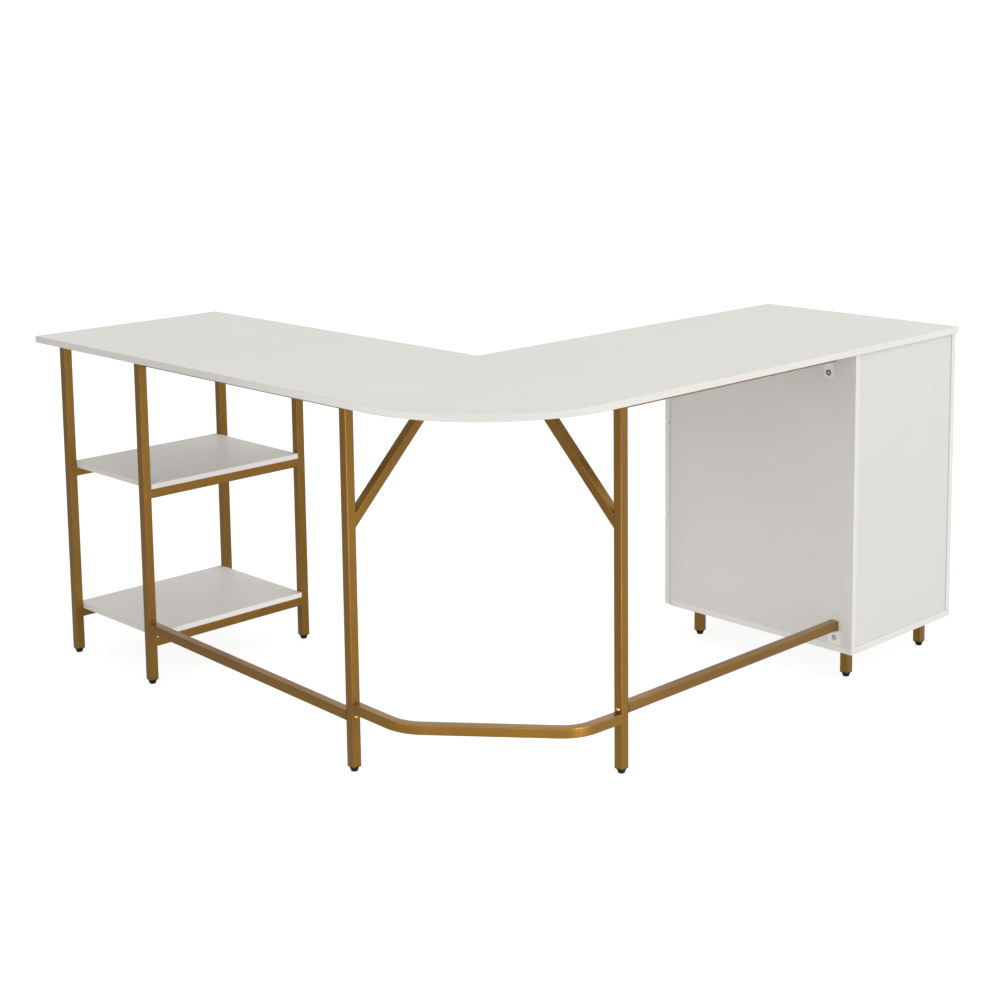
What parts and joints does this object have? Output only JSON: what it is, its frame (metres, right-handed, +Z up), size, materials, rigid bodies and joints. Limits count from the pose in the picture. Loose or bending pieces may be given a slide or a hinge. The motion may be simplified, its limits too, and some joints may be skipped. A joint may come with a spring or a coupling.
{
  "type": "corner desk",
  "caption": "L-shaped corner desk with a rounded outer corner, square-tube frame, open shelves under one wing and a drawer cabinet under the other.",
  "frame": {"origin": "bottom centre of the bounding box, on the floor", "axes": "+Z up; the drawer wing runs along X on the +Y side and the shelf wing along Y on the +X side, so the rounded outer corner is at +X +Y; drawers open towards -Y"},
  "size_m": [1.495, 1.48, 0.75],
  "materials": {
    "white_laminate": "satin",
    "gold_powder_coat": "satin metallic",
    "black_plastic": "moulded",
    "zinc_steel": "zinc plated",
    "white_steel": "satin",
    "drawer_board": "melamine"
  },
  "bodies": {
    "desk": {"bracket_lower": "white_steel", "bracket_upper": "white_steel", "cabinet_back": "white_laminate", "cabinet_bottom": "white_laminate", "cabinet_end_side": "white_laminate", "cabinet_knee_side": "white_laminate", "cabinet_leg_front_end": "gold_powder_coat", "cabinet_leg_front_knee": "gold_powder_coat", "cabinet_leg_rear_end": "gold_powder_coat", "cabinet_leg_rear_knee": "gold_powder_coat", "cabinet_top_rail": "white_laminate", "corner_stretcher": "gold_powder_coat", "desktop": "white_laminate", "drawer_wing_braced_leg": "gold_powder_coat", "drawer_wing_stretcher": "gold_powder_coat", "drawer_wing_top_rail": "gold_powder_coat", "runner_end_drawer_lower": "zinc_steel", "runner_end_drawer_middle": "zinc_steel", "runner_end_drawer_upper": "zinc_steel", "runner_knee_drawer_lower": "zinc_steel", "runner_knee_drawer_middle": "zinc_steel", "runner_knee_drawer_upper": "zinc_steel", "shelf_frame_end": "gold_powder_coat", "shelf_frame_inner": "gold_powder_coat", "shelf_lower": "white_laminate", "shelf_upper": "white_laminate", "shelf_wing_braced_leg": "gold_powder_coat", "shelf_wing_stretcher": "gold_powder_coat", "shelf_wing_top_rail": "gold_powder_coat"},
    "drawer_lower": {"drawer_lower_back": "drawer_board", "drawer_lower_bottom": "drawer_board", "drawer_lower_end_side": "drawer_board", "drawer_lower_front": "white_laminate", "drawer_lower_knee_side": "drawer_board", "slider_end_drawer_lower": "zinc_steel", "slider_knee_drawer_lower": "zinc_steel"},
    "drawer_middle": {"drawer_middle_back": "drawer_board", "drawer_middle_bottom": "drawer_board", "drawer_middle_end_side": "drawer_board", "drawer_middle_front": "white_laminate", "drawer_middle_knee_side": "drawer_board", "slider_end_drawer_middle": "zinc_steel", "slider_knee_drawer_middle": "zinc_steel"},
    "drawer_upper": {"drawer_upper_back": "drawer_board", "drawer_upper_bottom": "drawer_board", "drawer_upper_end_side": "drawer_board", "drawer_upper_front": "white_laminate", "drawer_upper_knee_side": "drawer_board", "slider_end_drawer_upper": "zinc_steel", "slider_knee_drawer_upper": "zinc_steel"},
    "foot_cabinet_front_end": {"foot_cabinet_front_end": "black_plastic"},
    "foot_cabinet_front_knee": {"foot_cabinet_front_knee": "black_plastic"},
    "foot_cabinet_rear_end": {"foot_cabinet_rear_end": "black_plastic"},
    "foot_cabinet_rear_knee": {"foot_cabinet_rear_knee": "black_plastic"},
    "foot_drawer_wing": {"foot_drawer_wing": "black_plastic"},
    "foot_shelf_end_inner": {"foot_shelf_end_inner": "black_plastic"},
    "foot_shelf_end_outer": {"foot_shelf_end_outer": "black_plastic"},
    "foot_shelf_inner_inner": {"foot_shelf_inner_inner": "black_plastic"},
    "foot_shelf_inner_outer": {"foot_shelf_inner_outer": "black_plastic"},
    "foot_shelf_wing": {"foot_shelf_wing": "black_plastic"}
  },
  "joints": [
    {"name": "drawer_lower_slide", "type": "slide", "parent": "desk", "child": "drawer_lower", "axis": [0, -1, 0], "range_m": [0, 0.33]},
    {"name": "drawer_middle_slide", "type": "slide", "parent": "desk", "child": "drawer_middle", "axis": [0, -1, 0], "range_m": [0, 0.33]},
    {"name": "drawer_upper_slide", "type": "slide", "parent": "desk", "child": "drawer_upper", "axis": [0, -1, 0], "range_m": [0, 0.33]},
    {"name": "foot_cabinet_front_end_level", "type": "slide", "parent": "desk", "child": "foot_cabinet_front_end", "axis": [0, 0, -1], "range_m": [0, 0.008]},
    {"name": "foot_cabinet_front_knee_level", "type": "slide", "parent": "desk", "child": "foot_cabinet_front_knee", "axis": [0, 0, -1], "range_m": [0, 0.008]},
    {"name": "foot_cabinet_rear_end_level", "type": "slide", "parent": "desk", "child": "foot_cabinet_rear_end", "axis": [0, 0, -1], "range_m": [0, 0.008]},
    {"name": "foot_cabinet_rear_knee_level", "type": "slide", "parent": "desk", "child": "foot_cabinet_rear_knee", "axis": [0, 0, -1], "range_m": [0, 0.008]},
    {"name": "foot_drawer_wing_level", "type": "slide", "parent": "desk", "child": "foot_drawer_wing", "axis": [0, 0, -1], "range_m": [0, 0.008]},
    {"name": "foot_shelf_end_inner_level", "type": "slide", "parent": "desk", "child": "foot_shelf_end_inner", "axis": [0, 0, -1], "range_m": [0, 0.008]},
    {"name": "foot_shelf_end_outer_level", "type": "slide", "parent": "desk", "child": "foot_shelf_end_outer", "axis": [0, 0, -1], "range_m": [0, 0.008]},
    {"name": "foot_shelf_inner_inner_level", "type": "slide", "parent": "desk", "child": "foot_shelf_inner_inner", "axis": [0, 0, -1], "range_m": [0, 0.008]},
    {"name": "foot_shelf_inner_outer_level", "type": "slide", "parent": "desk", "child": "foot_shelf_inner_outer", "axis": [0, 0, -1], "range_m": [0, 0.008]},
    {"name": "foot_shelf_wing_level", "type": "slide", "parent": "desk", "child": "foot_shelf_wing", "axis": [0, 0, -1], "range_m": [0, 0.008]}
  ]
}
